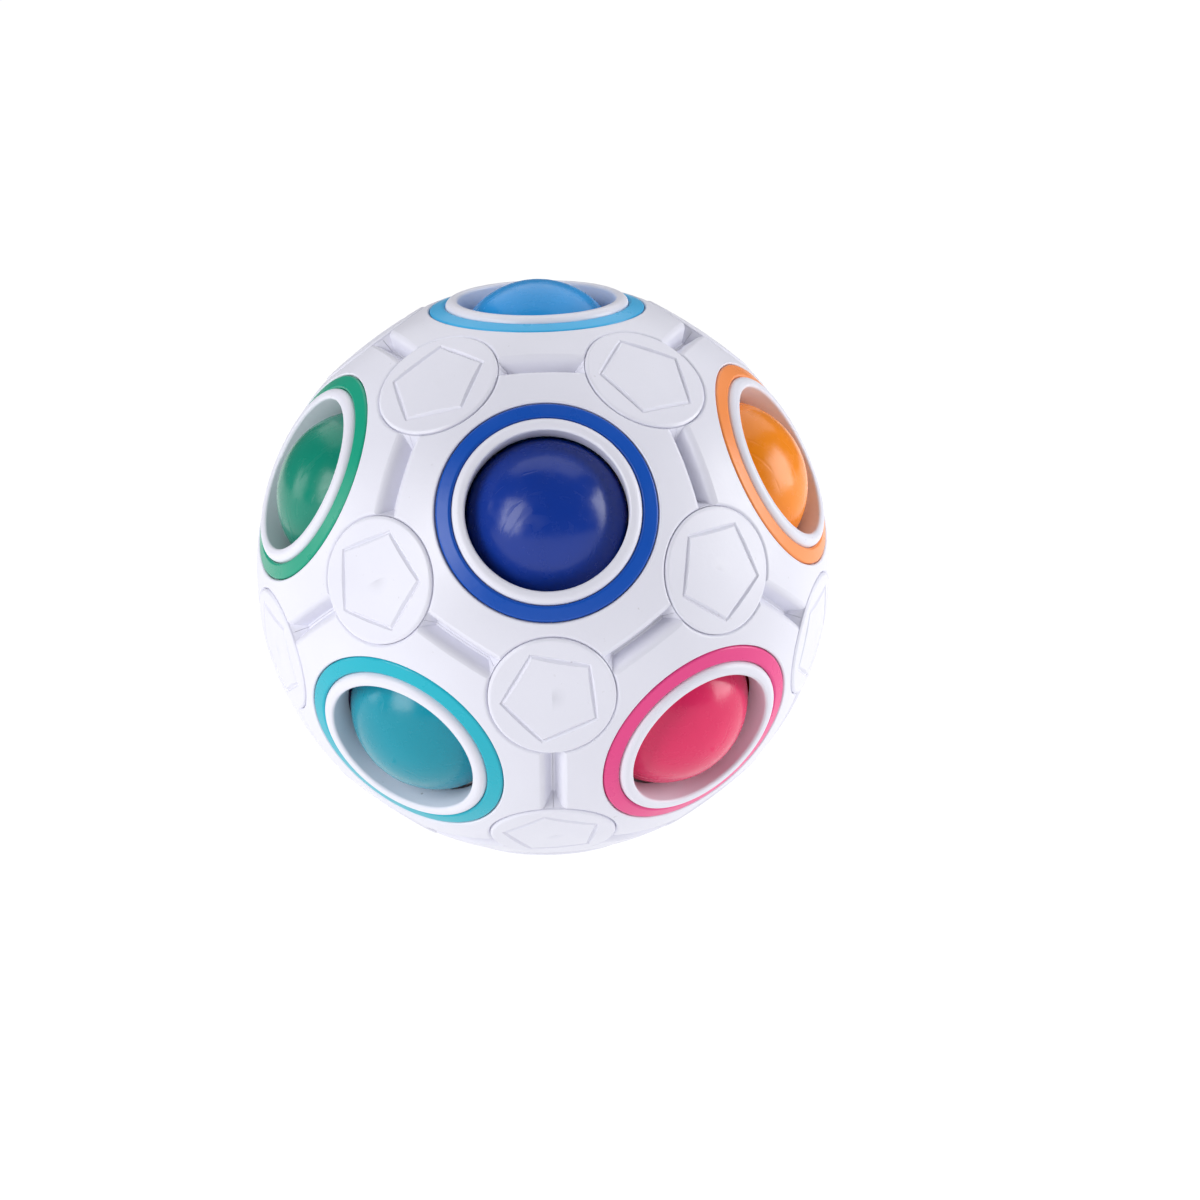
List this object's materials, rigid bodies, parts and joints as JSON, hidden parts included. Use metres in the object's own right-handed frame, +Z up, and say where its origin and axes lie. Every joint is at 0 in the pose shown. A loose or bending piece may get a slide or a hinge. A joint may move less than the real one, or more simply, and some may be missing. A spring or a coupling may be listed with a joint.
{
  "type": "ball-shifting puzzle",
  "caption": "Hollow puzzle ball with the symmetry of a dodecahedron: coloured balls sprung into ringed round windows, and one empty window to shift them through.",
  "frame": {"origin": "middle of the rim of the empty window, on the surface that the ball stands on", "axes": "+Z up through the top window, -Y towards the front, where the dark blue window is"},
  "size_m": [0.0696, 0.0698, 0.0691],
  "materials": {
    "ring_light_blue": "satin moulded plastic",
    "ring_dark_blue": "satin moulded plastic",
    "ring_orange": "satin moulded plastic",
    "ring_yellow": "satin moulded plastic",
    "ring_purple": "satin moulded plastic",
    "ring_green": "satin moulded plastic",
    "ring_pink": "satin moulded plastic",
    "ring_red": "satin moulded plastic",
    "ring_lime": "satin moulded plastic",
    "ring_lilac": "satin moulded plastic",
    "ring_teal": "satin moulded plastic",
    "ring_white": "satin moulded plastic",
    "ball_light_blue": "glossy moulded plastic, lightly scuffed",
    "ball_dark_blue": "glossy moulded plastic, lightly scuffed",
    "ball_orange": "glossy moulded plastic, lightly scuffed",
    "ball_yellow": "glossy moulded plastic, lightly scuffed",
    "ball_purple": "glossy moulded plastic, lightly scuffed",
    "ball_green": "glossy moulded plastic, lightly scuffed",
    "ball_pink": "glossy moulded plastic, lightly scuffed",
    "ball_red": "glossy moulded plastic, lightly scuffed",
    "ball_lime": "glossy moulded plastic, lightly scuffed",
    "ball_lilac": "glossy moulded plastic, lightly scuffed",
    "ball_teal": "glossy moulded plastic, lightly scuffed",
    "white_plastic": "smooth satin moulded plastic",
    "inner_plastic": "matt moulded plastic",
    "spring_wire": "drawn spring wire",
    "screw_steel": "plated steel"
  },
  "bodies": {
    "shell": {"plate_light_blue": "white_plastic", "plate_dark_blue": "white_plastic", "plate_orange": "white_plastic", "plate_yellow": "white_plastic", "plate_purple": "white_plastic", "plate_green": "white_plastic", "plate_pink": "white_plastic", "plate_red": "white_plastic", "plate_lime": "white_plastic", "plate_lilac": "white_plastic", "plate_teal": "white_plastic", "plate_white": "white_plastic", "ring_light_blue": "ring_light_blue", "ring_dark_blue": "ring_dark_blue", "ring_orange": "ring_orange", "ring_yellow": "ring_yellow", "ring_purple": "ring_purple", "ring_green": "ring_green", "ring_pink": "ring_pink", "ring_red": "ring_red", "ring_lime": "ring_lime", "ring_lilac": "ring_lilac", "ring_teal": "ring_teal", "ring_white": "ring_white", "caps_top": "white_plastic", "caps_upper": "white_plastic", "caps_lower": "white_plastic", "caps_bottom": "white_plastic", "corner_screws": "screw_steel", "corner_bosses": "inner_plastic", "core_upper": "inner_plastic", "core_lower": "inner_plastic", "spring_light_blue": "spring_wire", "spring_dark_blue": "spring_wire", "spring_orange": "spring_wire", "spring_yellow": "spring_wire", "spring_purple": "spring_wire", "spring_green": "spring_wire", "spring_pink": "spring_wire", "spring_red": "spring_wire", "spring_lime": "spring_wire", "spring_lilac": "spring_wire", "spring_teal": "spring_wire", "spring_white": "spring_wire"},
    "ball_light_blue": {"ball_light_blue": "ball_light_blue"},
    "ball_dark_blue": {"ball_dark_blue": "ball_dark_blue"},
    "ball_orange": {"ball_orange": "ball_orange"},
    "ball_yellow": {"ball_yellow": "ball_yellow"},
    "ball_purple": {"ball_purple": "ball_purple"},
    "ball_green": {"ball_green": "ball_green"},
    "ball_pink": {"ball_pink": "ball_pink"},
    "ball_red": {"ball_red": "ball_red"},
    "ball_lime": {"ball_lime": "ball_lime"},
    "ball_lilac": {"ball_lilac": "ball_lilac"},
    "ball_teal": {"ball_teal": "ball_teal"}
  },
  "joints": [
    {"name": "press_light_blue", "type": "slide", "parent": "shell", "child": "ball_light_blue", "axis": [0, 0, -1], "range_m": [0, 0.003], "stiffness_N_per_m": 400, "springref_m": -0.0024, "deforming": ["spring_light_blue"]},
    {"name": "press_dark_blue", "type": "slide", "parent": "shell", "child": "ball_dark_blue", "axis": [0, 0.8944, -0.4472], "range_m": [0, 0.003], "stiffness_N_per_m": 400, "springref_m": -0.0024, "deforming": ["spring_dark_blue"]},
    {"name": "press_orange", "type": "slide", "parent": "shell", "child": "ball_orange", "axis": [-0.8507, 0.2764, -0.4472], "range_m": [0, 0.003], "stiffness_N_per_m": 400, "springref_m": -0.0024, "deforming": ["spring_orange"]},
    {"name": "press_yellow", "type": "slide", "parent": "shell", "child": "ball_yellow", "axis": [-0.5257, -0.7236, -0.4472], "range_m": [0, 0.003], "stiffness_N_per_m": 400, "springref_m": -0.0024, "deforming": ["spring_yellow"]},
    {"name": "press_purple", "type": "slide", "parent": "shell", "child": "ball_purple", "axis": [0.5257, -0.7236, -0.4472], "range_m": [0, 0.003], "stiffness_N_per_m": 400, "springref_m": -0.0024, "deforming": ["spring_purple"]},
    {"name": "press_green", "type": "slide", "parent": "shell", "child": "ball_green", "axis": [0.8507, 0.2764, -0.4472], "range_m": [0, 0.003], "stiffness_N_per_m": 400, "springref_m": -0.0024, "deforming": ["spring_green"]},
    {"name": "press_red", "type": "slide", "parent": "shell", "child": "ball_red", "axis": [-0.8507, -0.2764, 0.4472], "range_m": [0, 0.003], "stiffness_N_per_m": 400, "springref_m": -0.0024, "deforming": ["spring_red"]},
    {"name": "press_lime", "type": "slide", "parent": "shell", "child": "ball_lime", "axis": [0, -0.8944, 0.4472], "range_m": [0, 0.003], "stiffness_N_per_m": 400, "springref_m": -0.0024, "deforming": ["spring_lime"]},
    {"name": "press_lilac", "type": "slide", "parent": "shell", "child": "ball_lilac", "axis": [0.8507, -0.2764, 0.4472], "range_m": [0, 0.003], "stiffness_N_per_m": 400, "springref_m": -0.0024, "deforming": ["spring_lilac"]},
    {"name": "press_teal", "type": "slide", "parent": "shell", "child": "ball_teal", "axis": [0.5257, 0.7236, 0.4472], "range_m": [0, 0.003], "stiffness_N_per_m": 400, "springref_m": -0.0024, "deforming": ["spring_teal"]},
    {"name": "transfer_pink", "type": "hinge", "parent": "shell", "child": "ball_pink", "pos_m": [0.01545, -0.02127, -0.00903], "axis": [-0.809, -0.5878, 0], "range_deg": [0, 50.07], "deforming": ["spring_pink", "spring_white"]}
  ]
}
